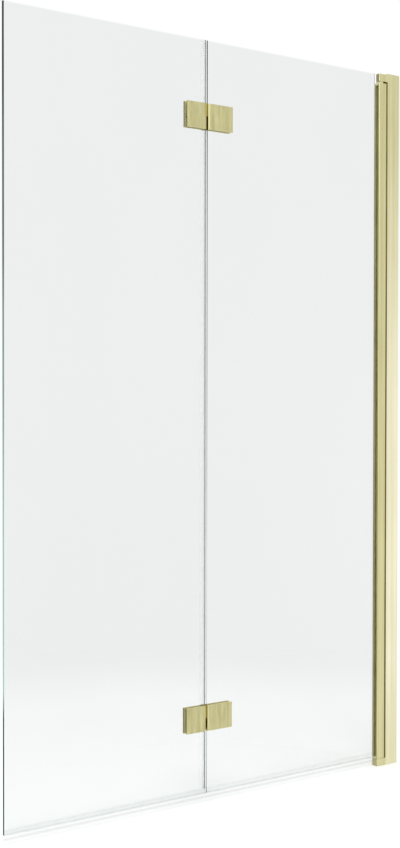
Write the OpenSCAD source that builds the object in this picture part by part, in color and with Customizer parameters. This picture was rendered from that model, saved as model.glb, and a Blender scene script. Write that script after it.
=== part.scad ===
// Folding bath screen: two panes of clear glass on a wall post.
// Millimetres. X = 0 is the wall face and the screen stands out along -X.
// Y = 0 is the middle of the glass, with the room at -Y and the bath at +Y.
// Z = 0 is the rim of the bath.

/* [Screen] */
// Reach from the wall face to the free edge of the outer pane
screen_w = 900; // [820:5:1000]
// Height of the wall post
screen_h = 1400; // [1300:5:1500]
// Distance from the wall face to the folding joint
joint_reach = 485; // [450:5:540]
// Gap between the two panes
pane_gap = 5; // [4.6:0.1:6]

/* [Glass] */
// Thickness of both panes
glass_t = 6; // [5:0.5:8]
// Drop of the glass below the top of the post
glass_drop = 3; // [2:0.5:8]
// Height of the glass above the rim
glass_lift = 18.5; // [18:0.5:24]
// Chamfer on the polished edges
arris = 0.7; // [0.3:0.1:1]
// Depth of glass held in the pivot profile
glass_bite = 10; // [9.6:0.1:12]
// Glass cut back from the face of the pivot profile beside the top block
notch_w = 9.2; // [8:0.1:14]

/* [Pivot profile] */
// Width of the pivot profile
profile_w = 19.3; // [18.4:0.1:22]
// Thickness of the flanges that grip the glass
flange_t = 2.3; // [1.8:0.1:3]
// Thickness of the glazing gasket on each side
glazing_t = 2.2; // [1.8:0.1:3]
// Thickness of the web behind the glass
web_t = 1.8; // [1.2:0.1:2]
// Thickness of the back of the pivot profile
back_t = 1.6; // [1.2:0.1:2]
// Gap between the pivot profile and the wall channel
profile_gap = 4; // [3.8:0.1:8]
// Distance from the face of the pivot profile to the pivot axis
axis_inset = 7.6; // [7:0.1:8.4]
// Rounding of the long edges away from the gap
edge_r = 1.2; // [0.4:0.1:1.4]
// Rounding of the long edges beside the gap
gap_edge_r = 0.3; // [0.2:0.1:1]

/* [Wall channel] */
// Distance that the wall channel stands out from the wall
channel_w = 31.5; // [30:0.5:40]
// Thickness of the two sides of the channel
channel_side_t = 1.6; // [1.2:0.1:2]
// Thickness of the channel's web against the wall
channel_web_t = 2; // [1.5:0.1:3]
// Height of the cap on top of the channel
cap_t = 1.8; // [1.2:0.1:2.6]
// Depth of the cap's lug in the channel
cap_lug_h = 8; // [5:0.5:12]
// Diameter of the holes for the wall screws
wall_hole_d = 5.5; // [4:0.1:6.5]
// Number of holes for the wall screws
wall_hole_count = 4; // [3:1:6]
// Distance of the end wall screws from the ends of the channel
wall_hole_inset = 80; // [50:5:150]

/* [Inner post] */
// Width of the post that slides in the wall channel
post_w = 24; // [23.6:0.1:25]
// How far the post shows out of the channel
post_proud = 0.5; // [0:0.1:0.8]
// Wall thickness of the post
post_wall_t = 1.5; // [1.2:0.1:1.8]
// Sliding clearance between the post and the channel
post_clearance = 0.2; // [0.1:0.05:0.3]
// Outer diameter of the screw ports in the post
port_d = 6.6; // [6.2:0.1:7]
// Distance between the two screw ports
port_pitch = 12.4; // [12:0.1:13]
// Thickness of the ribs that carry the screw ports
rib_t = 1.4; // [1:0.1:2]

/* [Pivot blocks] */
// Height of the top pivot block
top_block_h = 14.8; // [13:0.1:20]
// Height of the bottom pivot block
bottom_block_h = 14.4; // [13:0.1:14.4]
// Gap between the pivot profile and the top block
top_gap = 3.4; // [2:0.1:6]
// Gap between the pivot profile and the bottom block
bottom_gap = 0.6; // [0.5:0.1:1]
// Radius of the top block's corner toward the bath
block_corner_r = 8.4; // [4:0.1:10]
// Diameter of the pivot pins
pivot_pin_d = 6; // [5:0.1:7]
// Outer diameter of the bearing bushes
bush_d = 9.4; // [8.6:0.1:11]
// Length of the bearing bushes
bush_h = 10.6; // [8:0.1:11]
// Diameter of the collar under the top block
collar_d = 14.4; // [12:0.1:14.6]
// Running clearance of a pin in its bush or knuckle
running_clearance = 0.05; // [0.02:0.01:0.09]
// Clearance around a piece that is pressed or screwed in
press_clearance = 0.02; // [0.01:0.01:0.05]
// Length of the leg that holds an end plug in the profile
plug_leg_h = 24; // [16:1:40]
// Clearance of an end plug in the profile
plug_clearance = 0.12; // [0.05:0.01:0.2]

/* [Folding hinges] */
// Distance from the ends of the glass to the middle of each hinge
hinge_inset = 138.5; // [100:0.5:220]
// Height of a hinge
hinge_h = 47; // [44:0.5:70]
// Width of the outer leaf, up to the slot
outer_leaf_w = 42.7; // [40:0.1:60]
// Width of the inner leaf, from the slot
inner_leaf_w = 56.1; // [45:0.1:70]
// Width of the slot between the leaves
slot_w = 4.5; // [3.6:0.1:4.8]
// Distance of the slot from the middle of the joint, toward the wall
slot_shift = 0.65; // [0:0.05:0.8]
// Thickness of the clamp plates
plate_t = 3; // [2.6:0.1:4]
// Thickness of the gaskets under the clamp plates
gasket_t = 0.4; // [0.3:0.1:1]
// Rounding of the plates' upright edges away from the joint
plate_edge_r = 0.6; // [0.3:0.1:1]
// Radius of the outer front plate's long curve, in its upper half
curl_r = 22; // [8:0.5:30]
// Gap between the curved end and the lip of the inner front plate
curl_gap = 0.4; // [0.3:0.05:1.5]
// Flat left at the back of the curved end
curl_flat = 0.5; // [0.3:0.1:1]
// Radius of the outer front plate's end beside the slot
slot_end_r = 6; // [4.1:0.1:8]
// Flat left at the back of that end
slot_end_flat = 2.3; // [0.5:0.1:2.5]
// Radius of the rounded lip of the inner front plate
lip_r = 14; // [4.1:0.1:20]
// Flat left at the back of the lip
lip_flat = 2; // [0.5:0.1:2.5]
// Diameter of the hinge barrel
barrel_d = 8; // [7:0.1:8.4]
// Diameter of the hinge pin
hinge_pin_d = 4; // [3:0.1:4.6]
// Set-back of the fold axis behind the rear plates
fold_offset = 0.3; // [0.2:0.05:0.5]
// Gap between the knuckles and the plates beside them
knuckle_gap = 0.4; // [0.3:0.05:0.6]

/* [Hinge screws] */
// Diameter of the clamp screws
clamp_screw_d = 5; // [4:0.1:5.4]
// Diameter of the countersunk heads
clamp_head_d = 9; // [8:0.1:10]
// Distance between the two screws of a leaf
clamp_pitch = 24; // [18:0.5:30]
// Diameter of the bosses that reach through the glass
boss_d = 9; // [8:0.1:10]
// Clearance of the bosses in the glass
boss_clearance = 1; // [0.5:0.1:1.5]

/* [Other screws] */
// Diameter of the screws that fix the post in the channel
adjust_screw_d = 4; // [3:0.1:4.4]
// Diameter of their heads
adjust_head_d = 7.6; // [6.6:0.1:8]
// Height of their heads
adjust_head_h = 2.2; // [1.6:0.1:2.6]
// How far they reach into the post
adjust_grip = 3.4; // [2.4:0.1:5]
// Number of the screws that fix the post
adjust_screws = 3; // [2:1:6]
// Distance of the end ones from the ends of the channel
adjust_inset = 150; // [120:5:250]
// Diameter of the cover caps on those screws
cover_d = 10.5; // [9.6:0.1:11.5]
// Height of the cover caps
cover_h = 3.4; // [3.1:0.1:5]
// Diameter of the screws that fix the pivot blocks to the post
block_screw_d = 3.6; // [3:0.1:4]
// Diameter of their heads
block_head_d = 6.4; // [5.6:0.1:7]
// Height of their heads
block_head_h = 2.2; // [1.6:0.1:3]
// Length of the block screws in the post
block_screw_grip = 12; // [8:1:20]
// Diameter of the screws that fix the end plugs
plug_screw_d = 2.6; // [2:0.1:2.8]
// How far they reach into the end plugs
plug_screw_grip = 4; // [2:0.1:8]

/* [Seals] */
// Wall thickness of the clear seals
seal_t = 0.9; // [0.6:0.1:1]
// Height of the bottom seals' legs on the glass
seal_leg_h = 8.8; // [6:0.1:14]
// Drop of the fins below the bottom seals
fin_h = 16; // [12:0.1:16.4]
// Height of the tapered roots of the fins
fin_root_h = 4.4; // [2:0.1:6]
// Width of the roots, where they meet the seals
fin_root_w = 3.2; // [2:0.1:5]
// Lean of the fins toward the bath
fin_lean = 3; // [0:0.1:4]
// Distance from the pivot profile to the inner bottom seal
seal_setback = 5.2; // [4.6:0.1:8]
// How far the bottom seals reach past the glass at the joint
seal_reach = 1.5; // [0:0.1:1.8]
// Width of the joint seal's legs on the outer pane
joint_leg_w = 6.5; // [4:0.1:10]
// Wall thickness of the joint seal's bulb
bulb_t = 0.5; // [0.4:0.1:0.6]
// Clearance between the bulb and the inner pane
bulb_clearance = 0.4; // [0.3:0.05:0.6]

/* [Hidden] */
$fn = 48;
eps = 0.01;
cut = 1;

BRASS = [0.80, 0.77, 0.60];
BRASS_PLASTIC = [0.76, 0.73, 0.56];
STEEL = [0.72, 0.73, 0.74];
CLEAR = [0.80, 0.90, 0.88, 0.45];
SEAL = [0.88, 0.90, 0.90, 0.60];
NYLON = [0.90, 0.90, 0.86];
RUBBER = [0.20, 0.20, 0.20];

// Glass, profile and channel in plan
glass_half = glass_t / 2;
grip_half = glass_half + glazing_t;
half_depth = grip_half + flange_t;
channel_face = -channel_w;
profile_back = channel_face - profile_gap;
profile_face = profile_back - profile_w;
axis_x = profile_face + axis_inset;
glass_back = profile_face + glass_bite;
pocket_gap = 0.5;
pocket_back = glass_back + pocket_gap;
chamber_x0 = pocket_back + web_t;
chamber_x1 = profile_back - back_t;
gasket_recess = 0.3;

// Heights
channel_top = screen_h - cap_t;
glass_top = screen_h - glass_drop;
glass_bottom = glass_lift;
block_under_cap = 0.7;
top_block_z1 = channel_top - block_under_cap;
top_block_z0 = top_block_z1 - top_block_h;
profile_z1 = top_block_z0 - top_gap;
profile_z0 = bottom_block_h + bottom_gap;
bottom_plate_t = glass_bottom - profile_z0;
top_plate_t = 3.9;
notch_z = profile_z1 - top_plate_t;
plate_gap = 0.1;
plug_head_d = 2 * plug_screw_d;
plug_screw_x = (chamber_x0 + chamber_x1) / 2;
plug_screw_zs = [glass_bottom + plug_leg_h / 2, notch_z - plug_leg_h / 2];

// The post in the channel
channel_half = half_depth - channel_side_t;
post_half = channel_half - post_clearance;
post_x0 = channel_face - post_proud;
post_x1 = post_x0 + post_w;
post_mid = (post_x0 + post_x1) / 2;
ports = [post_mid - port_pitch / 2, post_mid + port_pitch / 2];
port_hole_d = block_screw_d + 2 * press_clearance;
tongue_gap = 0.2;
cover_clearance = 0.15;
head_sink = 0.2;
wall_hole_zs = spread(wall_hole_count, wall_hole_inset);
adjust_zs = spread(adjust_screws, adjust_inset);

// The pivots
pin_r = pivot_pin_d / 2;
bush_r = bush_d / 2;
bush_bore_r = pin_r + running_clearance;
bush_hole_r = bush_r + press_clearance;
pin_in_bush = bush_h - 0.6;
collar_play = 0.1;
washer_play = 0.1;
washer_inset = 0.4;

// The panes and the fold
free_edge = -screen_w;
joint_x = -joint_reach;
inner_edge = joint_x + pane_gap / 2;
outer_edge = joint_x - pane_gap / 2;
upper_hinge_z = glass_top - hinge_inset;
lower_hinge_z = glass_bottom + hinge_inset;
curl_reach = slot_w - curl_gap;
plate_in = glass_half + gasket_t;
plate_out = plate_in + plate_t;
fold_y = plate_out + fold_offset;
slot_x = joint_x + slot_shift;
outer_leaf_x1 = slot_x - slot_w / 2;
outer_leaf_x0 = outer_leaf_x1 - outer_leaf_w;
inner_leaf_x0 = slot_x + slot_w / 2;
inner_leaf_x1 = inner_leaf_x0 + inner_leaf_w;
outer_screw_x = (outer_leaf_x0 + outer_edge) / 2;
inner_screw_x = (inner_edge + inner_leaf_x1) / 2;
barrel_r = barrel_d / 2;
hinge_pin_r = hinge_pin_d / 2;
pin_end_gap = 0.6;
gasket_inset = 0.5;
glass_hole_d = boss_d + 2 * boss_clearance;
boss_end = glass_half - gasket_t;
clamp_blind = 1;
clamp_end_gap = 0.2;

// The seals
seal_floor = glass_bottom - 1;
seal_leg_z = glass_bottom + seal_leg_h;
fin_t = 0.8;
seal_gap = 0.3;
bulb_x1 = inner_edge - bulb_clearance;
joint_base_x = outer_edge + seal_t;
bulb_r = (bulb_x1 - joint_base_x) / 2 + bulb_t / 2;
bulb_x = bulb_x1 - bulb_r;

// Heights of so many screws, evenly spread along the channel
function spread(count, inset) =
    [for (i = [0 : count - 1]) inset + i * (channel_top - 2 * inset) / (count - 1)];

// A box between two corners
module box(a, b) {
    translate(a)
        cube(b - a);
}

// A rectangle with four round corners
module round_rect(a, b, r) {
    translate([a.x + r, a.y])
        square([b.x - a.x - 2 * r, b.y - a.y]);
    translate([a.x, a.y + r])
        square([b.x - a.x, b.y - a.y - 2 * r]);
    for (x = [a.x + r, b.x - r], y = [a.y + r, b.y - r])
        translate([x, y])
            circle(r);
}

// A rectangle with its corners at low X round by r0 and those at high X by r1
module ends_round_rect(a, b, r0, r1) {
    front_round_rect(a, [b.x - 2 * r1, b.y], r0);
    round_rect([a.x + 2 * r0, a.y], b, r1);
}

// A rectangle with its two corners at low X round
module front_round_rect(a, b, r) {
    round_rect(a, b, r);
    translate([a.x + r, a.y])
        square([b.x - a.x - r, b.y - a.y]);
}

// A rectangle with its corner at low X and high Y round
module corner_rect(a, b, r) {
    difference() {
        translate(a)
            square(b - a);
        difference() {
            translate([a.x - cut, b.y - r])
                square(r + cut);
            translate([a.x + r, b.y - r])
                circle(r);
        }
    }
}

// A cylinder along +Y from y0 to y1
module rod_y(x, z, r, y0, y1) {
    translate([x, y0, z])
        rotate([-90, 0, 0])
            cylinder(r = r, h = y1 - y0);
}

// A cylinder along +Z from z0 to z1
module rod_z(x, y, r, z0, z1) {
    translate([x, y, z0])
        cylinder(r = r, h = z1 - z0);
}

// A ring along +Z from z0 to z1
module ring_z(x, y, r, bore_r, z0, z1) {
    difference() {
        rod_z(x, y, r, z0, z1);
        rod_z(x, y, bore_r, z0 - cut, z1 + cut);
    }
}

// A screw along +Z: its head's top is at Z = 0 and the shank runs down
module pan_screw(d, head_d, head_h, length) {
    socket_d = 0.6 * d;
    difference() {
        union() {
            translate([0, 0, -head_h])
                cylinder(d = head_d, h = head_h);
            translate([0, 0, -length])
                cylinder(d = d, h = length - head_h + eps);
        }
        translate([0, 0, -head_h * 0.6])
            cylinder(d = socket_d, h = head_h, $fn = 6);
    }
}

// A countersunk screw along +Z with its flat top at Z = 0
module flat_screw(d, head_d, length) {
    head_h = (head_d - d) / 2;
    socket_d = 0.6 * d;
    difference() {
        union() {
            translate([0, 0, -head_h])
                cylinder(d1 = d, d2 = head_d, h = head_h);
            translate([0, 0, -length])
                cylinder(d = d, h = length - head_h + eps);
        }
        translate([0, 0, -head_h])
            cylinder(d = socket_d, h = head_h + cut, $fn = 6);
    }
}

// The hole for a countersunk screw, wider by a clearance all round
module flat_screw_hole(d, head_d, length, clearance) {
    head_h = (head_d - d) / 2;
    translate([0, 0, -head_h])
        cylinder(d1 = d + 2 * clearance, d2 = head_d + 2 * clearance, h = head_h);
    translate([0, 0, -eps])
        cylinder(d = head_d + 2 * clearance, h = cut);
    translate([0, 0, -length])
        cylinder(d = d + 2 * clearance, h = length);
}

// ---- Wall side ----

module wall_channel() {
    color(BRASS)
        difference() {
            linear_extrude(channel_top)
                difference() {
                    front_round_rect([channel_face, -half_depth], [0, half_depth], gap_edge_r);
                    translate([channel_face - cut, -channel_half])
                        square([channel_w + cut - channel_web_t, 2 * channel_half]);
                }
            for (z = wall_hole_zs)
                translate([-channel_web_t - cut, 0, z])
                    rotate([0, 90, 0])
                        cylinder(d = wall_hole_d, h = channel_web_t + 2 * cut);
            for (z = adjust_zs)
                rod_y(post_mid, z, adjust_screw_d / 2 + press_clearance,
                      channel_half - cut, half_depth + cut);
        }
}

module channel_cap() {
    lug_x0 = post_x1 + tongue_gap;
    color(BRASS_PLASTIC) {
        translate([0, 0, channel_top])
            linear_extrude(cap_t)
                front_round_rect([channel_face, -half_depth], [0, half_depth], gap_edge_r);
        box([lug_x0, -post_half, channel_top - cap_lug_h],
            [-channel_web_t - post_clearance, post_half, channel_top + eps]);
    }
}

module post_section() {
    inner_half = post_half - post_wall_t;
    difference() {
        round_rect([post_x0, -post_half], [post_x1, post_half], edge_r);
        difference() {
            translate([post_x0 + post_wall_t, -inner_half])
                square([post_w - 2 * post_wall_t, 2 * inner_half]);
            for (x = ports) {
                translate([x, 0])
                    circle(d = port_d);
                translate([x - rib_t / 2, -post_half])
                    square([rib_t, 2 * post_half]);
            }
        }
        for (x = ports)
            translate([x, 0])
                circle(d = port_hole_d);
    }
}

module inner_post() {
    color(BRASS)
        difference() {
            translate([0, 0, bottom_block_h])
                linear_extrude(top_block_z0 - bottom_block_h)
                    post_section();
            for (z = adjust_zs)
                rod_y(post_mid, z, adjust_screw_d / 2 + press_clearance,
                      post_half - post_wall_t - cut, post_half + cut);
        }
}

module adjust_screws() {
    length = adjust_head_h + channel_side_t + post_clearance + adjust_grip;
    color(STEEL)
        for (z = adjust_zs)
            translate([post_mid, half_depth + adjust_head_h, z])
                rotate([-90, 0, 0])
                    pan_screw(adjust_screw_d, adjust_head_d, adjust_head_h, length);
}

module screw_covers() {
    inside_r = adjust_head_d / 2 + cover_clearance;
    color(BRASS_PLASTIC)
        for (z = adjust_zs)
            difference() {
                rod_y(post_mid, z, cover_d / 2, half_depth, half_depth + cover_h);
                rod_y(post_mid, z, inside_r, half_depth - cut,
                      half_depth + adjust_head_h + cover_clearance);
            }
}

// A block from its door face at Z = 0 up to Z = h, with the bush bore in the
// door face and a tongue that lies over the end of the post
module pivot_block(h, corner_r) {
    difference() {
        union() {
            linear_extrude(h) {
                front_round_rect([profile_face, -half_depth],
                                 [channel_face, 0], edge_r);
                corner_rect([profile_face, -half_depth + 2 * edge_r],
                            [channel_face, half_depth], corner_r);
            }
            box([channel_face - eps, -post_half, 0],
                [post_x1, post_half, h]);
        }
        rod_z(axis_x, 0, bush_hole_r, -cut, bush_h);
        for (x = ports) {
            rod_z(x, 0, block_screw_d / 2 + press_clearance, -cut, h + cut);
            rod_z(x, 0, block_head_d / 2 + head_sink, h - head_sink - block_head_h, h + cut);
        }
    }
}

module top_pivot_block() {
    color(BRASS)
        translate([0, 0, top_block_z0])
            pivot_block(top_block_h, block_corner_r);
}

module bottom_pivot_block() {
    color(BRASS)
        translate([0, 0, bottom_block_h])
            mirror([0, 0, 1])
                pivot_block(bottom_block_h, edge_r);
}

module block_screw(h) {
    pan_screw(block_screw_d, block_head_d, block_head_h, h - head_sink + block_screw_grip);
}

module top_block_screws() {
    color(STEEL)
        for (x = ports)
            translate([x, 0, top_block_z1 - head_sink])
                block_screw(top_block_h);
}

module bottom_block_screws() {
    color(STEEL)
        for (x = ports)
            translate([x, 0, head_sink])
                mirror([0, 0, 1])
                    block_screw(bottom_block_h);
}

module top_bush() {
    color(NYLON)
        ring_z(axis_x, 0, bush_r, bush_bore_r, top_block_z0, top_block_z0 + bush_h);
}

module bottom_bush() {
    color(NYLON)
        ring_z(axis_x, 0, bush_r, bush_bore_r, bottom_block_h - bush_h, bottom_block_h);
}

module bottom_thrust_washer() {
    color(NYLON)
        ring_z(axis_x, 0, axis_inset - washer_inset, bush_bore_r,
               bottom_block_h, profile_z0 - washer_play);
}

// ---- Inner panel ----

module pivot_profile() {
    color(BRASS)
        difference() {
            translate([0, 0, profile_z0])
                linear_extrude(profile_z1 - profile_z0)
                    difference() {
                        ends_round_rect([profile_face, -half_depth],
                                        [profile_back, half_depth], edge_r, gap_edge_r);
                        translate([profile_face - cut, -grip_half])
                            square([pocket_back - profile_face + cut, 2 * grip_half]);
                        translate([chamber_x0, -grip_half])
                            square([chamber_x1 - chamber_x0, 2 * grip_half]);
                    }
            box([pocket_back - cut, -grip_half, profile_z0 - cut],
                [chamber_x0 + cut, grip_half, profile_z0 + bottom_plate_t]);
            box([pocket_back - cut, -grip_half, profile_z1 - top_plate_t],
                [chamber_x0 + cut, grip_half, profile_z1 + cut]);
            for (z = plug_screw_zs)
                translate([plug_screw_x, half_depth, z])
                    rotate([-90, 0, 0])
                        flat_screw_hole(plug_screw_d, plug_head_d, flange_t + cut, press_clearance);
        }
}

// An end plug: a plate in the end of the profile, which carries the pivot pin,
// and a leg in the chamber behind the glass. The plate's outer face is at Z = 0.
module end_plug(plate_h) {
    half = grip_half - plug_clearance;
    color(BRASS)
        difference() {
            union() {
                box([profile_face, -half, -plate_h + plate_gap],
                    [chamber_x1 - plug_clearance, half, 0]);
                box([chamber_x0 + plug_clearance, -half, -plate_h - plug_leg_h],
                    [chamber_x1 - plug_clearance, half, -plate_h + plate_gap + eps]);
            }
            rod_z(axis_x, 0, pin_r + press_clearance, -plate_h - cut, cut);
            rod_y(plug_screw_x, -plate_h - plug_leg_h / 2, plug_screw_d / 2 + press_clearance,
                  half - plug_screw_grip, half + cut);
        }
}

module top_end_plug() {
    translate([0, 0, profile_z1])
        end_plug(top_plate_t);
}

module bottom_end_plug() {
    translate([0, 0, profile_z0])
        mirror([0, 0, 1])
            end_plug(bottom_plate_t);
}

module top_pivot_pin() {
    color(STEEL)
        rod_z(axis_x, 0, pin_r, notch_z + plate_gap, top_block_z0 + pin_in_bush);
}

module bottom_pivot_pin() {
    color(STEEL)
        rod_z(axis_x, 0, pin_r, bottom_block_h - pin_in_bush, glass_bottom - plate_gap);
}

module top_collar() {
    color(BRASS)
        ring_z(axis_x, 0, collar_d / 2, bush_bore_r, profile_z1, top_block_z0 - collar_play);
}

module end_plug_screws() {
    length = flange_t + plug_screw_grip;
    color(STEEL)
        for (z = plug_screw_zs)
            translate([plug_screw_x, half_depth, z])
                rotate([-90, 0, 0])
                    flat_screw(plug_screw_d, plug_head_d, length);
}

module glazing_gasket() {
    x0 = profile_face + gasket_recess;
    color(RUBBER)
        difference() {
            box([x0, -grip_half, glass_bottom], [pocket_back, grip_half, notch_z]);
            box([x0 - cut, -glass_half, glass_bottom - cut], [glass_back, glass_half, notch_z + cut]);
        }
}

// A pane between two X values with chamfers on all its edges
module pane(x0, x1) {
    h = glass_top - glass_bottom;
    intersection() {
        translate([0, 0, glass_bottom])
            linear_extrude(h)
                arris_rect([x0, -glass_half], [x1, glass_half]);
        translate([x0, 0, 0])
            rotate([90, 0, 90])
                linear_extrude(x1 - x0)
                    arris_rect([-glass_half, glass_bottom], [glass_half, glass_top]);
    }
}

module arris_rect(a, b) {
    polygon([
        [a.x + arris, a.y], [b.x - arris, a.y], [b.x, a.y + arris], [b.x, b.y - arris],
        [b.x - arris, b.y], [a.x + arris, b.y], [a.x, b.y - arris], [a.x, a.y + arris]
    ]);
}

module clamp_holes(x) {
    for (hinge_z = [upper_hinge_z, lower_hinge_z], side = [-1, 1])
        rod_y(x, hinge_z + side * clamp_pitch / 2, glass_hole_d / 2,
              -glass_half - cut, glass_half + cut);
}

module inner_glass() {
    color(CLEAR)
        difference() {
            pane(inner_edge, glass_back);
            box([profile_face - notch_w, -glass_half - cut, notch_z],
                [glass_back + cut, glass_half + cut, glass_top + cut]);
            clamp_holes(inner_screw_x);
        }
}

// A seal on the bottom edge of a pane, with a fin that leans toward the bath
module bottom_seal(x0, x1) {
    outer = glass_half + seal_t;
    root_half = fin_root_w / 2;
    root_z = seal_floor - fin_root_h;
    fin_z = seal_floor - fin_h;
    color(SEAL)
        translate([x0, 0, 0])
            rotate([90, 0, 90])
                linear_extrude(x1 - x0)
                    polygon([
                        [-outer, seal_leg_z], [-outer, seal_floor], [-root_half, seal_floor],
                        [-fin_t / 2, root_z], [fin_lean - fin_t / 2, fin_z],
                        [fin_lean + fin_t / 2, fin_z], [fin_t / 2, root_z],
                        [root_half, seal_floor], [outer, seal_floor], [outer, seal_leg_z],
                        [glass_half, seal_leg_z], [glass_half, glass_bottom],
                        [-glass_half, glass_bottom], [-glass_half, seal_leg_z]
                    ]);
}

module inner_bottom_seal() {
    bottom_seal(inner_edge - seal_reach, profile_face - seal_setback);
}

// ---- Outer panel ----

module outer_glass() {
    color(CLEAR)
        difference() {
            pane(free_edge, outer_edge);
            clamp_holes(outer_screw_x);
        }
}

module outer_bottom_seal() {
    bottom_seal(free_edge, outer_edge + seal_reach);
}

// A clip-on seal along the outer pane's edge, with a hollow bulb in the joint
module joint_seal(z0, z1) {
    outer = glass_half + seal_t;
    color(SEAL)
        translate([0, 0, z0])
            linear_extrude(z1 - z0)
                difference() {
                    union() {
                        difference() {
                            translate([outer_edge - joint_leg_w, -outer])
                                square([joint_leg_w + seal_t, 2 * outer]);
                            translate([outer_edge - joint_leg_w - cut, -glass_half])
                                square([joint_leg_w + cut, glass_t]);
                        }
                        translate([bulb_x, 0])
                            circle(bulb_r);
                    }
                    translate([bulb_x, 0])
                        circle(bulb_r - bulb_t);
                }
}

module joint_seal_top() {
    joint_seal(upper_hinge_z + hinge_h / 2 + seal_gap, glass_top);
}

module joint_seal_middle() {
    joint_seal(lower_hinge_z + hinge_h / 2 + seal_gap, upper_hinge_z - hinge_h / 2 - seal_gap);
}

module joint_seal_bottom() {
    joint_seal(seal_leg_z + seal_gap, lower_hinge_z - hinge_h / 2 - seal_gap);
}

// ---- Folding hinges, each drawn about its own middle height ----

// The section of a front plate of width w, with its end beside the joint at
// X = 0: an arc of radius r on its face, which leaves a flat at its back
module front_plate_section(w, r, flat) {
    depth = plate_t - flat;
    run = sqrt(r * r - (r - depth) * (r - depth));
    face_w = w - run - plate_edge_r;
    translate([run, -plate_out])
        square([face_w, plate_t]);
    translate([run, plate_edge_r - plate_out])
        square([face_w + plate_edge_r, plate_t - plate_edge_r]);
    translate([w - plate_edge_r, plate_edge_r - plate_out])
        circle(plate_edge_r);
    intersection() {
        translate([run, r - plate_out])
            circle(r);
        translate([0, -plate_out - cut])
            square([run + eps, plate_t + cut]);
    }
}

module bosses(x) {
    for (side = [-1, 1])
        rod_y(x, side * clamp_pitch / 2, boss_d / 2, -plate_in - eps, boss_end);
}

module boss_bores(x) {
    for (side = [-1, 1])
        rod_y(x, side * clamp_pitch / 2, clamp_screw_d / 2 + press_clearance,
              -plate_out + clamp_blind, plate_out);
}

// Half the height of the outer front plate, which ends past the slot's edge
// by a reach, with a radius r and a flat
module outer_front_half(reach, r, flat) {
    linear_extrude(hinge_h / 2)
        translate([outer_leaf_x1 + reach, 0])
            mirror([1, 0])
                front_plate_section(outer_leaf_w + reach, r, flat);
}

module outer_front_plate() {
    color(BRASS)
        difference() {
            union() {
                translate([0, 0, -hinge_h / 2])
                    outer_front_half(0, slot_end_r, slot_end_flat);
                outer_front_half(curl_reach, curl_r, curl_flat);
                bosses(outer_screw_x);
            }
            boss_bores(outer_screw_x);
        }
}

module inner_front_plate() {
    color(BRASS)
        difference() {
            union() {
                translate([inner_leaf_x0, 0, -hinge_h / 2])
                    linear_extrude(hinge_h)
                        front_plate_section(inner_leaf_w, lip_r, lip_flat);
                bosses(inner_screw_x);
            }
            boss_bores(inner_screw_x);
        }
}

module plate_screw_holes(x) {
    for (side = [-1, 1])
        translate([x, plate_out, side * clamp_pitch / 2])
            rotate([-90, 0, 0])
                flat_screw_hole(clamp_screw_d, clamp_head_d, plate_t + cut, press_clearance);
}

// A rear plate from its far edge to its own knuckle, which takes the half of
// the height on its own side of Z = 0; the rest clears the other leaf's knuckle
module rear_plate(x_far, x_screw, own_half, bore_r) {
    side = sign(x_far - joint_x);
    x_clear = joint_x + side * (barrel_r + knuckle_gap);
    x_beyond = joint_x - side * (barrel_r + cut);
    z_split = own_half * knuckle_gap / 2;
    z_beyond = -own_half * (hinge_h / 2 + cut);
    color(BRASS)
        difference() {
            union() {
                box([min(x_far, joint_x), plate_in, -hinge_h / 2],
                    [max(x_far, joint_x), plate_out, hinge_h / 2]);
                rod_z(joint_x, fold_y, barrel_r, -hinge_h / 2, hinge_h / 2);
            }
            box([min(x_clear, x_beyond), fold_y - barrel_r - cut, min(z_split, z_beyond)],
                [max(x_clear, x_beyond), fold_y + barrel_r + cut, max(z_split, z_beyond)]);
            rod_z(joint_x, fold_y, bore_r, -hinge_h / 2 - cut, hinge_h / 2 + cut);
            plate_screw_holes(x_screw);
        }
}

module outer_rear_plate() {
    rear_plate(outer_leaf_x0, outer_screw_x, 1, hinge_pin_r + running_clearance);
}

module inner_rear_plate() {
    rear_plate(inner_leaf_x1, inner_screw_x, -1, hinge_pin_r + press_clearance);
}

module hinge_pin() {
    color(STEEL)
        rod_z(joint_x, fold_y, hinge_pin_r, -hinge_h / 2 + pin_end_gap, hinge_h / 2 - pin_end_gap);
}

// A gasket between a clamp plate and the glass, on the side given by y
module plate_gasket(x0, x1, x_screw, y) {
    edge = hinge_h / 2 - gasket_inset;
    color(RUBBER)
        difference() {
            box([x0, min(y, y + gasket_t), -edge], [x1, max(y, y + gasket_t), edge]);
            for (side = [-1, 1])
                rod_y(x_screw, side * clamp_pitch / 2, glass_hole_d / 2,
                      y - gasket_t - cut, y + gasket_t + cut);
        }
}

module outer_gasket(y) {
    plate_gasket(outer_leaf_x0 + gasket_inset, outer_edge - barrel_r, outer_screw_x, y);
}

module inner_gasket(y) {
    plate_gasket(inner_edge + barrel_r, inner_leaf_x1 - gasket_inset, inner_screw_x, y);
}

module clamp_screws(x) {
    length = 2 * plate_out - clamp_blind - clamp_end_gap;
    color(STEEL)
        for (side = [-1, 1])
            translate([x, plate_out, side * clamp_pitch / 2])
                rotate([-90, 0, 0])
                    flat_screw(clamp_screw_d, clamp_head_d, length);
}

module at_upper() {
    translate([0, 0, upper_hinge_z])
        children();
}

module at_lower() {
    translate([0, 0, lower_hinge_z])
        children();
}

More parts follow.
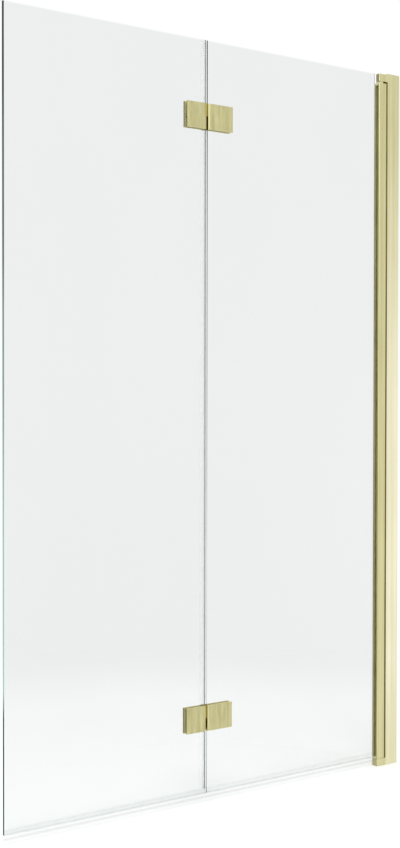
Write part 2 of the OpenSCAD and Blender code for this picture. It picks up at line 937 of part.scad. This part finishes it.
wall_channel();
channel_cap();
inner_post();
adjust_screws();
screw_covers();
top_pivot_block();
bottom_pivot_block();
top_block_screws();
bottom_block_screws();
top_bush();
bottom_bush();
bottom_thrust_washer();
pivot_profile();
top_end_plug();
bottom_end_plug();
top_pivot_pin();
bottom_pivot_pin();
top_collar();
end_plug_screws();
glazing_gasket();
inner_glass();
inner_bottom_seal();
outer_glass();
outer_bottom_seal();
joint_seal_top();
joint_seal_middle();
joint_seal_bottom();
at_upper() hinge_pin();  // upper_hinge_pin
at_upper() inner_front_plate();  // upper_inner_front_plate
at_upper() inner_rear_plate();  // upper_inner_rear_plate
at_upper() inner_gasket(-plate_in);  // upper_inner_front_gasket
at_upper() inner_gasket(glass_half);  // upper_inner_rear_gasket
at_upper() clamp_screws(inner_screw_x);  // upper_inner_screws
at_upper() outer_front_plate();  // upper_outer_front_plate
at_upper() outer_rear_plate();  // upper_outer_rear_plate
at_upper() outer_gasket(-plate_in);  // upper_outer_front_gasket
at_upper() outer_gasket(glass_half);  // upper_outer_rear_gasket
at_upper() clamp_screws(outer_screw_x);  // upper_outer_screws
at_lower() hinge_pin();  // lower_hinge_pin
at_lower() inner_front_plate();  // lower_inner_front_plate
at_lower() inner_rear_plate();  // lower_inner_rear_plate
at_lower() inner_gasket(-plate_in);  // lower_inner_front_gasket
at_lower() inner_gasket(glass_half);  // lower_inner_rear_gasket
at_lower() clamp_screws(inner_screw_x);  // lower_inner_screws
at_lower() outer_front_plate();  // lower_outer_front_plate
at_lower() outer_rear_plate();  // lower_outer_rear_plate
at_lower() outer_gasket(-plate_in);  // lower_outer_front_gasket
at_lower() outer_gasket(glass_half);  // lower_outer_rear_gasket
at_lower() clamp_screws(outer_screw_x);  // lower_outer_screws
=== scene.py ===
import math

import bpy
from mathutils import Matrix, Vector


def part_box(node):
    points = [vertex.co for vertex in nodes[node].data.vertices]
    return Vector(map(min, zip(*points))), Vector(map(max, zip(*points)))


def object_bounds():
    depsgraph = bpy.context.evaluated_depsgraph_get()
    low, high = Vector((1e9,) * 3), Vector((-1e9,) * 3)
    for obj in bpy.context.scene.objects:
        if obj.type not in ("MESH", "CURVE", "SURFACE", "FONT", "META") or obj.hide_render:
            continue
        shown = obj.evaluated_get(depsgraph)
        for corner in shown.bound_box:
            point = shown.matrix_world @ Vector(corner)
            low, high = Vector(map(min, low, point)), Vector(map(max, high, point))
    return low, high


# The frame is in metres. x is 0 at the wall and falls toward the free edge, -y faces the room,
# and z is the height above the foot of the wall channel.
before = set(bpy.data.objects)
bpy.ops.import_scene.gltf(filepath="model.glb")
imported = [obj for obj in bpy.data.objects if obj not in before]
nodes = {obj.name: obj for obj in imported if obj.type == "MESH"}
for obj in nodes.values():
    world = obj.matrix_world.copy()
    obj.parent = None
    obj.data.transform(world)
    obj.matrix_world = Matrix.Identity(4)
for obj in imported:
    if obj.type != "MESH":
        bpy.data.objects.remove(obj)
cad_lo, cad_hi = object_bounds()
CENTRE = (cad_lo + cad_hi) / 2
FLOOR_GAP = 0.0005
FLOOR_Z = cad_lo.z - FLOOR_GAP
pane_lo, pane_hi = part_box("outer_glass")
GLASS_FRONT, GLASS_REAR = pane_lo.y, pane_hi.y
WHITE = (1, 1, 1, 1)


# ---- Nodes ----

# A Mix node has sockets for each kind of data. These are its factor and colours, and the result.
MIX_INPUTS = (0, 6, 7)
MIX_RESULT = 2


def feed(tree, socket, value):
    """Links another node's output to the socket, or sets the socket to a plain value."""
    if isinstance(value, bpy.types.NodeSocket):
        tree.links.new(value, socket)
    else:
        socket.default_value = value


def put(tree, kind, inputs=None, **settings):
    """A shader node with its settings, values and links."""
    made = tree.nodes.new("ShaderNode" + kind)
    for name, value in settings.items():
        setattr(made, name, value)
    for name, value in (inputs or {}).items():
        feed(tree, made.inputs[name], value)
    return made


def material(name):
    made = bpy.data.materials.new(name)
    made.use_nodes = True
    made.node_tree.nodes.clear()
    return made, made.node_tree


def surface(tree, shader):
    put(tree, "OutputMaterial", {"Surface": shader})


def linear(r, g, b):
    """A colour from its sRGB numbers, 0 to 255."""
    def one(v):
        v /= 255
        return v / 12.92 if v <= 0.04045 else ((v + 0.055) / 1.055) ** 2.4
    return (one(r), one(g), one(b), 1.0)


def dimmed(colour, share):
    return tuple(v * share for v in colour[:3]) + (1.0,)


def maths(tree, operation, *values):
    made = put(tree, "Math", operation=operation)
    for socket, value in zip(made.inputs, values):
        feed(tree, socket, value)
    return made.outputs[0]


def times(tree, *values):
    """The product of the values."""
    product = values[0]
    for value in values[1:]:
        product = maths(tree, "MULTIPLY", product, value)
    return product


def weighted(tree, *pairs):
    """The sum of the values, each times its weight."""
    total = 0.0
    for value, weight in pairs:
        total = maths(tree, "MULTIPLY_ADD", value, weight, total)
    return total


def above(tree, value, limit):
    return maths(tree, "GREATER_THAN", value, limit)


def below(tree, value, limit):
    return maths(tree, "LESS_THAN", value, limit)


def ramp(tree, value, low, high, to_low=0.0, to_high=1.0, smooth=False):
    """value from low..high to to_low..to_high, held at the ends."""
    limits = {"Value": value, "From Min": low, "From Max": high, "To Min": to_low, "To Max": to_high}
    steps = "SMOOTHSTEP" if smooth else "LINEAR"
    return put(tree, "MapRange", limits, interpolation_type=steps).outputs[0]


def mix_colour(tree, share, a, b):
    """a where the share is 0 and b where it is 1. It mixes plain numbers too."""
    made = put(tree, "Mix", data_type="RGBA")
    for index, value in zip(MIX_INPUTS, (share, a, b)):
        feed(tree, made.inputs[index], value)
    return made.outputs[MIX_RESULT]


def mix_shader(tree, share, a, b):
    """a where the share is 0 and b where it is 1."""
    made = put(tree, "MixShader", {"Fac": share})
    tree.links.new(a, made.inputs[1])
    tree.links.new(b, made.inputs[2])
    return made.outputs[0]


def noise(tree, scale, detail=2.0, rough=0.5):
    """Noise on the part, with so many features to the metre along each axis."""
    at = put(tree, "TexCoord").outputs["Object"]
    at = put(tree, "Mapping", {"Vector": at, "Scale": scale}).outputs[0]
    return put(tree, "TexNoise", {"Vector": at, "Scale": 1.0, "Detail": detail,
                                  "Roughness": rough}).outputs["Fac"]


def split(tree, output):
    vector = put(tree, "TexCoord").outputs[output]
    return tuple(put(tree, "SeparateXYZ", {"Vector": vector}).outputs)


def place_of(tree):
    """x, y and z of the place on the part, which move along with it."""
    return split(tree, "Object")


def turn_of(tree):
    """How far the surface is turned toward the x, y and z axes, 0 to 1."""
    return [maths(tree, "ABSOLUTE", way) for way in split(tree, "Normal")]


def bumps(tree, height, strength, depth):
    return put(tree, "Bump", {"Height": height, "Strength": strength, "Distance": depth}).outputs[0]


def see_through(tree, colour):
    return put(tree, "BsdfTransparent", {"Color": colour}).outputs[0]


# ---- Metal and plastic ----

# Noise seldom leaves the first range. Narrower ones give more contrast.
NOISE_RANGE = (0.3, 0.7)
STREAK_RANGE = (0.35, 0.65)
GRAIN_RANGE = (0.36, 0.64)
# The wide streaks have so many features for each one of the fine grain.
WIDE_GRAIN = 0.22
# How far off a neighbour can be and still cast painted shade on the metal.
METAL_SHADE_REACH = 0.008
AO_SAMPLES = 8
# Painted light on the channel: it pales from its top down, and less so in its foot, as in the
# photograph. Each row has two heights, and the share at each.
CHANNEL_PAINTED_PALING = (1.38, 0.70, 0.0, 1.0)
CHANNEL_FOOT = (0.0, 0.22, 0.45, 1.0)


def brushed(name, light, dark, roughness, grain=(900.0, 900.0, 9.0), open_at=(0.45, 0.97),
            shade_tint=(0.85, 0.72, 0.1), painted_pale_tones=None):
    """Metal with a fine grain, soft streaks and painted shade in its crevices.

    Between the two shares of open sky in open_at, the painted shade gives way to the metal's own
    tone. The shade's tone is the dark one mirrored in itself, as light that has met the metal twice,
    times the tint given for it. The last argument gives the light and dark tone of the channel's
    lower half, paled there as painted light.
    """
    made, tree = material(name)
    height = place_of(tree)[2]
    fine = noise(tree, grain, detail=3.0, rough=0.6)
    wide = noise(tree, [v * WIDE_GRAIN for v in grain])
    cloud = noise(tree, (9.0, 9.0, 5.0))
    pattern = weighted(tree, (wide, 0.45), (fine, 0.35), (cloud, 0.20))
    tone = ramp(tree, pattern, *GRAIN_RANGE)
    colour = mix_colour(tree, tone, dark, light)
    # Painted light: the channel's lower half takes paler tones.
    if painted_pale_tones:
        pale_light, pale_dark = painted_pale_tones
        lower = times(tree, ramp(tree, height, *CHANNEL_PAINTED_PALING, smooth=True),
                      ramp(tree, height, *CHANNEL_FOOT))
        colour = mix_colour(tree, lower, colour, mix_colour(tree, tone, pale_dark, pale_light))

    open_sky = put(tree, "AmbientOcclusion", {"Distance": METAL_SHADE_REACH}, samples=AO_SAMPLES).outputs["AO"]
    # The floor makes no crevice and casts no painted shade, so metal close to it counts as open.
    by_floor = ramp(tree, height, 0.5 * METAL_SHADE_REACH, 1.2 * METAL_SHADE_REACH, 1.0, 0.0)
    open_sky = maths(tree, "ADD", open_sky, by_floor)
    # Painted crevice shade: the dark tone mirrored in itself, as light that met the metal twice.
    crevice_shade = tuple(v * v * kept for v, kept in zip(dark, shade_tint)) + (1.0,)
    colour = mix_colour(tree, ramp(tree, open_sky, *open_at), crevice_shade, colour)

    rough = ramp(tree, fine, *NOISE_RANGE, roughness - 0.05, roughness + 0.07)
    normal = bumps(tree, pattern, strength=0.10, depth=0.0002)
    shader = put(tree, "BsdfPrincipled", {"Base Color": colour, "Metallic": 1.0,
                                          "Roughness": rough, "Normal": normal})
    surface(tree, shader.outputs[0])
    return made


def moulded(name, light, dark, roughness):
    """Plastic or rubber with a fine spark-eroded texture."""
    made, tree = material(name)
    fine = noise(tree, (2600.0, 2600.0, 2600.0), rough=0.6)
    cloud = noise(tree, (40.0, 40.0, 40.0))
    pattern = weighted(tree, (cloud, 0.6), (fine, 0.4))
    colour = mix_colour(tree, ramp(tree, pattern, *STREAK_RANGE), dark, light)
    rough = ramp(tree, fine, *NOISE_RANGE, roughness - 0.06, roughness + 0.06)
    normal = bumps(tree, fine, strength=0.15, depth=0.0001)
    shader = put(tree, "BsdfPrincipled", {"Base Color": colour, "Roughness": rough, "Normal": normal})
    surface(tree, shader.outputs[0])
    return made


# ---- Glass and clear seals ----

GLASS_TINT = (0.922, 0.932, 0.929, 1)
GLASS_HAZE = 0.996
GLASS_MIRROR = 0.043
GLASS_LAMP_TINT = (0.985, 0.992, 0.99, 1)
CLEAR_EDGE = linear(248, 251, 250)
# A surface of the glass turned toward y by more than FACE_TURN is a face, and by more than
# ARRIS_TURN an arris. One turned toward z by more than LEVEL_TURN is a top or bottom edge.
FACE_TURN = 0.95
ARRIS_TURN = 0.5
LEVEL_TURN = 0.3

# The strips that an upright edge shows, measured from the front or rear face of the glass.
FRONT_STRIP = 0.0011
FRONT_STRIP_AT_TOP = 0.0018
REAR_STRIP = 0.0013
RIGHT_STRIP = 0.0015
# Between these heights the joint's front strip narrows from FRONT_STRIP_AT_TOP to FRONT_STRIP.
JOINT_STRIP_NARROWS = (1.34, 1.00)
# Painted light and shade on the upright edges: how their tones change with height in the
# photograph. Each row has two heights, and the tone at each.
FREE_END_REAR = (1.22, 0.50, 0.05, 0.90)
FREE_END_FRONT = (1.00, 0.38, 0.0, 0.70)
FREE_END_FOOT = (0.25, 0.19, 0.0, 1.0)
FREE_FRONT_ARRIS = (1.20, 0.60, 0.0, 1.0)
# Painted shade: below the lower hinge, the free edge's tones go dark.
ABOVE_LOWER_HINGE = (0.213, 0.26, 0.0, 1.0)
JOINT_FRONT = (1.34, 0.45, 0.0, 1.0)
JOINT_FOOT = (0.0, 0.26, 0.30, 1.0)
# Painted shade: a power above 1 keeps the upper part of the joint dark for longer.
JOINT_POWER = 2.4
EDGE_STREAKS = 0.12


def mirror_share(tree, straight, grazing):
    """How much a surface mirrors: a share seen straight on, rising toward grazing."""
    facing = put(tree, "LayerWeight", {"Blend": 0.5}).outputs["Facing"]
    rise = maths(tree, "POWER", facing, 5.0)
    return maths(tree, "MULTIPLY_ADD", rise, grazing - straight, straight)


def for_lamps(tree, shader, tint):
    """Lets lamps shine through, with a little of their light kept back."""
    shadow = put(tree, "LightPath").outputs["Is Shadow Ray"]
    return mix_shader(tree, shadow, shader, see_through(tree, tint))


def polished(tree, tone, dark, light, solid):
    """A polished glass edge: part see-through, part the glass's own green."""
    streak = noise(tree, (60.0, 60.0, 3.2), detail=3.0, rough=0.6)
    tone = maths(tree, "ADD", tone, ramp(tree, streak, *NOISE_RANGE, -EDGE_STREAKS, EDGE_STREAKS))
    colour = mix_colour(tree, ramp(tree, tone, 0.0, 1.0), dark, light)
    body = put(tree, "BsdfPrincipled", {"Base Color": colour, "Roughness": 0.12}).outputs[0]
    return mix_shader(tree, solid, see_through(tree, colour), body)


def painted_shade_strip(tree):
    """Painted shade: a dark strip where the edge looks into the joint, faintly streaked."""
    streak = noise(tree, (60.0, 60.0, 5.0), detail=3.0, rough=0.6)
    return see_through(tree, mix_colour(tree, ramp(tree, streak, *STREAK_RANGE),
                                        linear(26, 31, 30), linear(74, 80, 79)))


def grey_strip(tree):
    """Painted grey shade on the inner pane's right edge, which shows at the notch by the top block."""
    return see_through(tree, linear(150, 154, 153))


def free_edge(tree, across):
    """The outer pane's left edge: where it has strips, what is between, behind and before them.

    The strips are its two arrises. They and the end between them are polished, and carry
    painted light and shade that change with height.
    """
    y, z = place_of(tree)[1:]
    above_hinge = ramp(tree, z, *ABOVE_LOWER_HINGE)
    rear_tone = times(tree, ramp(tree, z, *FREE_END_REAR), above_hinge)
    front_tone = times(tree, ramp(tree, z, *FREE_END_FRONT), above_hinge)
    foot_tone = times(tree, below(tree, y, GLASS_FRONT + FRONT_STRIP), ramp(tree, z, *FREE_END_FOOT))
    end_tone = mix_colour(tree, below(tree, y, 0.0), rear_tone, front_tone)
    end_tone = maths(tree, "MAXIMUM", end_tone, foot_tone)
    end = polished(tree, end_tone, linear(34, 46, 43), linear(188, 224, 215), 0.35)
    rear = polished(tree, rear_tone, linear(60, 76, 71), linear(214, 246, 238), 0.35)
    arris_tone = ramp(tree, z, *FREE_FRONT_ARRIS)
    front = polished(tree, arris_tone, linear(34, 46, 42), linear(234, 252, 247), 0.2)
    return above(tree, across, ARRIS_TURN), end, rear, front


def joint_edge(tree, across):
    """The inner pane's left edge, given in the same way: clear between its strips of painted shade."""
    y, z = place_of(tree)[1:]
    front_limit = ramp(tree, z, *JOINT_STRIP_NARROWS, GLASS_FRONT + FRONT_STRIP_AT_TOP,
                       GLASS_FRONT + FRONT_STRIP)
    rear_limit = GLASS_REAR - REAR_STRIP
    in_strip = maths(tree, "MAXIMUM", below(tree, y, front_limit), above(tree, y, rear_limit))
    in_strip = maths(tree, "MAXIMUM", in_strip, above(tree, across, ARRIS_TURN))
    lightens = maths(tree, "POWER", ramp(tree, z, *JOINT_FRONT), JOINT_POWER)
    tone = times(tree, lightens, ramp(tree, z, *JOINT_FOOT))
    front = see_through(tree, mix_colour(tree, tone, linear(16, 19, 18), linear(214, 219, 217)))
    return in_strip, see_through(tree, CLEAR_EDGE), painted_shade_strip(tree), front


def pane(name, left_edge, right_strip):
    """Clear glass with a faint mirror on its faces, and the upright edges that it is given."""
    made, tree = material(name)
    haze = ramp(tree, noise(tree, (6.0, 6.0, 3.0)), *NOISE_RANGE)
    tint = mix_colour(tree, haze, dimmed(GLASS_TINT, GLASS_HAZE), GLASS_TINT)
    gloss = put(tree, "BsdfGlossy", {"Color": WHITE, "Roughness": 0.0}).outputs[0]
    face = mix_shader(tree, mirror_share(tree, GLASS_MIRROR, 1.0), see_through(tree, tint), gloss)

    lo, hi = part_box(name)
    x, y = place_of(tree)[:2]
    across, upward = turn_of(tree)[1:]
    clear = see_through(tree, CLEAR_EDGE)
    in_strip, between, behind, before = left_edge(tree, across)
    strips = mix_shader(tree, below(tree, y, 0.0), behind, before)
    left = mix_shader(tree, in_strip, between, strips)
    right = mix_shader(tree, below(tree, y, GLASS_FRONT + RIGHT_STRIP), clear, right_strip(tree))
    upright = mix_shader(tree, above(tree, x, (lo.x + hi.x) / 2), left, right)
    edge = mix_shader(tree, above(tree, upward, LEVEL_TURN), upright, clear)
    body = mix_shader(tree, above(tree, across, FACE_TURN), edge, face)
    surface(tree, for_lamps(tree, body, GLASS_LAMP_TINT))
    return made


SEAL_BODY = linear(228, 230, 230)
SEAL_RIPPLE = 0.85
SEAL_FACE = (0.993, 0.996, 0.996, 1)
SEAL_SIDE = (0.945, 0.95, 0.95, 1)
SEAL_LEVEL = (0.86, 0.87, 0.87, 1)
# The tint of the painted shade lines on the bottom seals.
SEAL_LINE_TINT = (0.90, 0.902, 0.905, 1)
SEAL_LAMP_TINT = (0.97, 0.975, 0.975, 1)
SEAL_MIRROR = 0.03
SEAL_GRAZING_MIRROR = 0.3
# The share of its body that a seal shows more of on its edges than on its faces.
SEAL_EDGE_BODY = 0.03
# How far a seal's surface is turned toward y where its edges start to show, and where fully.
SEAL_EDGE_TURN = (0.95, 0.25)
# Painted shade on the bottom seals: grey lines standing in for the edges and the shadow seen
# through the clear plastic. Each gives its height, half width and strength. A line is at full
# strength in this share of its width.
PAINTED_SEAL_LINES = ((0.0110, 0.0040, 0.8), (0.0178, 0.0018, 0.42), (0.0255, 0.0018, 0.16))
SEAL_LINE_CORE = 0.2
# Painted shade on the joint seal: a dark corner in front of the outer pane's right edge.
# It pales downward.
CORNER_LEFT = pane_hi.x - 0.0005
CORNER_RIGHT = pane_hi.x + 0.0009
CORNER_REAR = GLASS_FRONT - 0.0001
CORNER_LIGHTENS = (1.30, 1.00)


def clear_pvc(name, has_corner=False):
    """Soft clear plastic: hardly seen on its faces, greyer where its edges are seen."""
    made, tree = material(name)
    ripple = noise(tree, (25.0, 25.0, 30.0))
    colour = mix_colour(tree, ramp(tree, ripple, *NOISE_RANGE), SEAL_BODY,
                        dimmed(SEAL_BODY, SEAL_RIPPLE))
    normal = bumps(tree, ripple, strength=0.1, depth=0.0002)
    body = put(tree, "BsdfPrincipled", {"Base Color": colour, "Roughness": 0.3,
                                        "Specular IOR Level": 0.6, "Normal": normal}).outputs[0]
    x, y, z = place_of(tree)
    across, upward = turn_of(tree)[1:]
    on_edge = ramp(tree, across, *SEAL_EDGE_TURN)
    tint = mix_colour(tree, on_edge, SEAL_FACE, mix_colour(tree, upward, SEAL_SIDE, SEAL_LEVEL))
    # Painted shade: grey lines along the bottom seals.
    lines = []
    for height, half, strength in PAINTED_SEAL_LINES:
        away = maths(tree, "ABSOLUTE", maths(tree, "SUBTRACT", z, height))
        lines.append((ramp(tree, away, half, SEAL_LINE_CORE * half), strength))
    tint = mix_colour(tree, weighted(tree, *lines), tint, SEAL_LINE_TINT)
    # Painted shade: the joint seal's dark corner.
    if has_corner:
        in_corner = times(tree, above(tree, x, CORNER_LEFT), below(tree, x, CORNER_RIGHT),
                          below(tree, y, CORNER_REAR))
        corner_shade = mix_colour(tree, ramp(tree, z, *CORNER_LIGHTENS),
                                 linear(122, 128, 127), linear(132, 138, 137))
        tint = mix_colour(tree, in_corner, tint, corner_shade)
    mirrored = mirror_share(tree, SEAL_MIRROR, SEAL_GRAZING_MIRROR)
    share = maths(tree, "ADD", mirrored, times(tree, on_edge, SEAL_EDGE_BODY))
    clear = mix_shader(tree, share, see_through(tree, tint), body)
    surface(tree, for_lamps(tree, clear, SEAL_LAMP_TINT))
    return made


# ---- Finishes ----

profile = brushed("profile_brass", linear(225, 221, 177), linear(204, 198, 151), 0.34)
channel = brushed("channel_brass", linear(229, 225, 183), linear(208, 203, 158), 0.34,
                  painted_pale_tones=(linear(254, 251, 229), linear(235, 231, 202)))
# The hinge has a stronger, more golden painted shade in its crevices.
hinge = brushed("hinge_brass", linear(216, 211, 164), linear(187, 181, 132), 0.34,
                grain=(520.0, 520.0, 64.0), open_at=(0.2, 0.85), shade_tint=(2.4, 2.1, 0.1))
trim = moulded("trim_brass", linear(208, 204, 160), linear(194, 189, 144), 0.42)
steel = brushed("steel", linear(205, 206, 207), linear(172, 174, 176), 0.30,
                grain=(1500.0, 1500.0, 1500.0))
nylon = moulded("nylon", linear(226, 226, 218), linear(212, 212, 203), 0.45)
rubber = moulded("gasket_rubber", linear(170, 165, 107), linear(153, 148, 91), 0.5)
soft_pad = moulded("clamp_rubber", linear(206, 202, 158), linear(190, 186, 144), 0.5)
outer_pane = pane("outer_glass", free_edge, painted_shade_strip)
inner_pane = pane("inner_glass", joint_edge, grey_strip)
pvc = clear_pvc("seal_pvc")
joint_pvc = clear_pvc("joint_pvc", has_corner=True)

HINGES = ("upper", "lower")
LEAVES = [f"{place}_{leaf}" for place in HINGES for leaf in ("inner", "outer")]
SIDES = [f"{leaf}_{side}" for leaf in LEAVES for side in ("front", "rear")]
HINGE_STEEL = [f"{place}_hinge_pin" for place in HINGES] + [f"{leaf}_screws" for leaf in LEAVES]
FINISH = {
    channel: ["wall_channel"],
    profile: ["inner_post", "top_pivot_block", "bottom_pivot_block", "pivot_profile"],
    trim: ["channel_cap", "screw_covers", "top_end_plug", "bottom_end_plug", "top_collar"],
    steel: ["adjust_screws", "top_block_screws", "bottom_block_screws", "top_pivot_pin",
            "bottom_pivot_pin", "end_plug_screws", *HINGE_STEEL],
    nylon: ["top_bush", "bottom_bush", "bottom_thrust_washer"],
    rubber: ["glazing_gasket"],
    outer_pane: ["outer_glass"],
    inner_pane: ["inner_glass"],
    pvc: ["inner_bottom_seal", "outer_bottom_seal"],
    joint_pvc: ["joint_seal_top", "joint_seal_middle", "joint_seal_bottom"],
    hinge: [f"{side}_plate" for side in SIDES],
    soft_pad: [f"{side}_gasket" for side in SIDES],
}
for finish, names in FINISH.items():
    for name in names:
        slots = nodes[name].data.materials
        slots.clear()
        slots.append(finish)
bare = sorted(set(nodes) - {name for names in FINISH.values() for name in names})
assert not bare, bare


# ---- Studio ----

# The walls as reflections see them: the level of light outside the patches, and each patch's
# direction, the cosines off it where it starts and is full, and what it multiplies the level by.
WALL_LEVEL = 1.26
DIM_RIGHT = ((0.766, -0.643, 0.0), 0.766, 0.927, 0.73)
DIM_REAR = ((-0.72, 0.70, 0.0), 0.3, 0.9, 0.3)
BRIGHT_FRONT = ((0.14, -0.99, 0.0), 0.955, 0.995, 1.45)
WARM_RIGHT = ((0.985, -0.174, 0.0), 0.790, 0.960, 0.55)
WARM_TINGE = (1.0, 0.92, 0.48, 1)
# The z of a direction where the walls start to dim and where they are dimmest, and the factors.
LOW_WALLS = (-0.02, -0.2, 1.0, 0.9)
# A glow low on the right: the x and the z of a direction where it starts and is full, each
# followed by what it gives there.
GLOW_RIGHT = (0.58, 0.78, 0.0, 1.0)
GLOW_LOW = (0.20, -0.12, 0.0, 0.36)
# The level of the walls as matt surfaces see them.
MATT_LEVEL = 0.86


def studio_world():
    """White to the camera and through glass, with softer walls for light and reflections."""
    world = bpy.data.worlds.new("studio")
    bpy.context.scene.world = world
    world.use_nodes = True
    tree = world.node_tree
    tree.nodes.clear()
    way = put(tree, "TexCoord").outputs["Generated"]
    parts = put(tree, "SeparateXYZ", {"Vector": way}).outputs

    def patch(direction, start, full, factor):
        """How far into a patch of the walls a direction is, 0 to 1, and its factor there."""
        toward = Vector(direction).normalized()
        dot = put(tree, "VectorMath", {0: way, 1: toward}, operation="DOT_PRODUCT")
        share = ramp(tree, dot.outputs["Value"], start, full, smooth=True)
        return share, ramp(tree, share, 0.0, 1.0, 1.0, factor)

    warm, warm_factor = patch(*WARM_RIGHT)
    factors = [patch(*row)[1] for row in (DIM_RIGHT, DIM_REAR, BRIGHT_FRONT)]
    low_factor = ramp(tree, parts["Z"], *LOW_WALLS, smooth=True)
    level = times(tree, WALL_LEVEL, *factors, warm_factor, low_factor)
    right_glow = times(tree, ramp(tree, parts["X"], *GLOW_RIGHT, smooth=True),
                       ramp(tree, parts["Z"], *GLOW_LOW, smooth=True))
    level = maths(tree, "ADD", level, right_glow)
    tinge = mix_colour(tree, warm, WHITE, WARM_TINGE)

    glossy = put(tree, "Background", {"Color": tinge, "Strength": level}).outputs[0]
    matt = put(tree, "Background", {"Color": WHITE, "Strength": MATT_LEVEL}).outputs[0]
    white = put(tree, "Background", {"Color": WHITE, "Strength": 1.0}).outputs[0]
    path = put(tree, "LightPath").outputs
    light = mix_shader(tree, path["Is Glossy Ray"], matt, glossy)
    seen = maths(tree, "MAXIMUM", path["Is Camera Ray"], path["Is Transmission Ray"])
    put(tree, "OutputWorld", {"Surface": mix_shader(tree, seen, light, white)})


FLOOR_REACH = 14.0
# Distances from below the object's centre: where the floor turns plain white, and where
# reflections stop showing it.
FLOOR_WHITENS = (0.8, 1.5)
FLOOR_MIRRORED = (0.2, 0.5)
# The faint shade on the floor: how far from the object it still falls, and how strong it gets.
SHADE_REACH = 0.12
SHADE = 0.27


def studio_floor():
    """A white floor with the object's shadow and a faint shade, white further off."""
    data = bpy.data.meshes.new("floor")
    corners = [(x * FLOOR_REACH, y * FLOOR_REACH, 0) for x, y in ((-1, -1), (1, -1), (1, 1), (-1, 1))]
    data.from_pydata(corners, [], [(0, 1, 2, 3)])
    floor = bpy.data.objects.new("floor", data)
    bpy.context.scene.collection.objects.link(floor)
    floor.location = (CENTRE.x, CENTRE.y, FLOOR_Z)

    made, tree = material("floor")
    at = put(tree, "TexCoord").outputs["Object"]
    far = put(tree, "VectorMath", {0: at}, operation="LENGTH").outputs["Value"]
    colour = mix_colour(tree, noise(tree, (3.0, 3.0, 3.0)), linear(250, 250, 250), linear(253, 253, 253))
    lit = put(tree, "BsdfDiffuse", {"Color": colour}).outputs[0]
    grey = put(tree, "Emission", {"Color": linear(222, 222, 222), "Strength": 1.0}).outputs[0]
    white = put(tree, "Emission", {"Color": WHITE, "Strength": 1.0}).outputs[0]
    open_sky = put(tree, "AmbientOcclusion", {"Distance": SHADE_REACH}, samples=AO_SAMPLES).outputs["AO"]
    near = mix_shader(tree, ramp(tree, open_sky, 1.0, 0.5, 0.0, SHADE), lit, grey)

    path = put(tree, "LightPath").outputs
    seen = maths(tree, "MAXIMUM", path["Is Camera Ray"], path["Is Transmission Ray"])
    away = ramp(tree, far, *FLOOR_WHITENS, smooth=True)
    plain = mix_shader(tree, times(tree, away, seen), near, white)
    unmirrored = times(tree, path["Is Glossy Ray"], ramp(tree, far, *FLOOR_MIRRORED))
    surface(tree, mix_shader(tree, unmirrored, plain, see_through(tree, WHITE)))
    data.materials.append(made)


def softbox(name, place, size, watts):
    """A rectangular lamp that faces the object's centre."""
    data = bpy.data.lights.new(name, "AREA")
    data.shape = "RECTANGLE"
    data.size, data.size_y = size
    data.energy = watts
    lamp = bpy.data.objects.new(name, data)
    bpy.context.scene.collection.objects.link(lamp)
    lamp.location = place
    lamp.rotation_mode = "QUATERNION"
    lamp.rotation_quaternion = (CENTRE - Vector(place)).to_track_quat("-Z", "Y")


def photo_camera():
    """The photograph's viewpoint, solved from the straight edges of the glass and profiles."""
    place = Vector((-1.96639, -1.99239, 0.74143))
    yaw, pitch, roll = (math.radians(v) for v in (36.427, -1.0126, 0.0720))
    focal_pixels, picture_height, sensor_size = 1354.98, 848.0, 36.0
    ahead = Vector((math.sin(yaw) * math.cos(pitch), math.cos(yaw) * math.cos(pitch),
                    math.sin(pitch)))
    right = Vector((math.cos(yaw), -math.sin(yaw), 0.0))
    up = right.cross(ahead)
    side = right * math.cos(roll) + up * math.sin(roll)
    top = up * math.cos(roll) - right * math.sin(roll)
    data = bpy.data.cameras.new("camera")
    data.sensor_fit = "AUTO"
    data.sensor_width = sensor_size
    data.lens = focal_pixels / picture_height * sensor_size
    data.clip_start, data.clip_end = 0.05, 100.0
    camera = bpy.data.objects.new("camera", data)
    bpy.context.scene.collection.objects.link(camera)
    turn = Matrix((side, top, -ahead)).transposed()
    camera.matrix_world = Matrix.Translation(place) @ turn.to_4x4()
    bpy.context.scene.camera = camera


bpy.context.scene.view_settings.view_transform = "Standard"
studio_world()
studio_floor()
softbox("key", place=(-1.9, -2.3, 2.9), size=(1.6, 1.6), watts=30.0)
softbox("top", place=(-0.45, -0.2, 3.4), size=(2.6, 2.0), watts=30.0)
photo_camera()
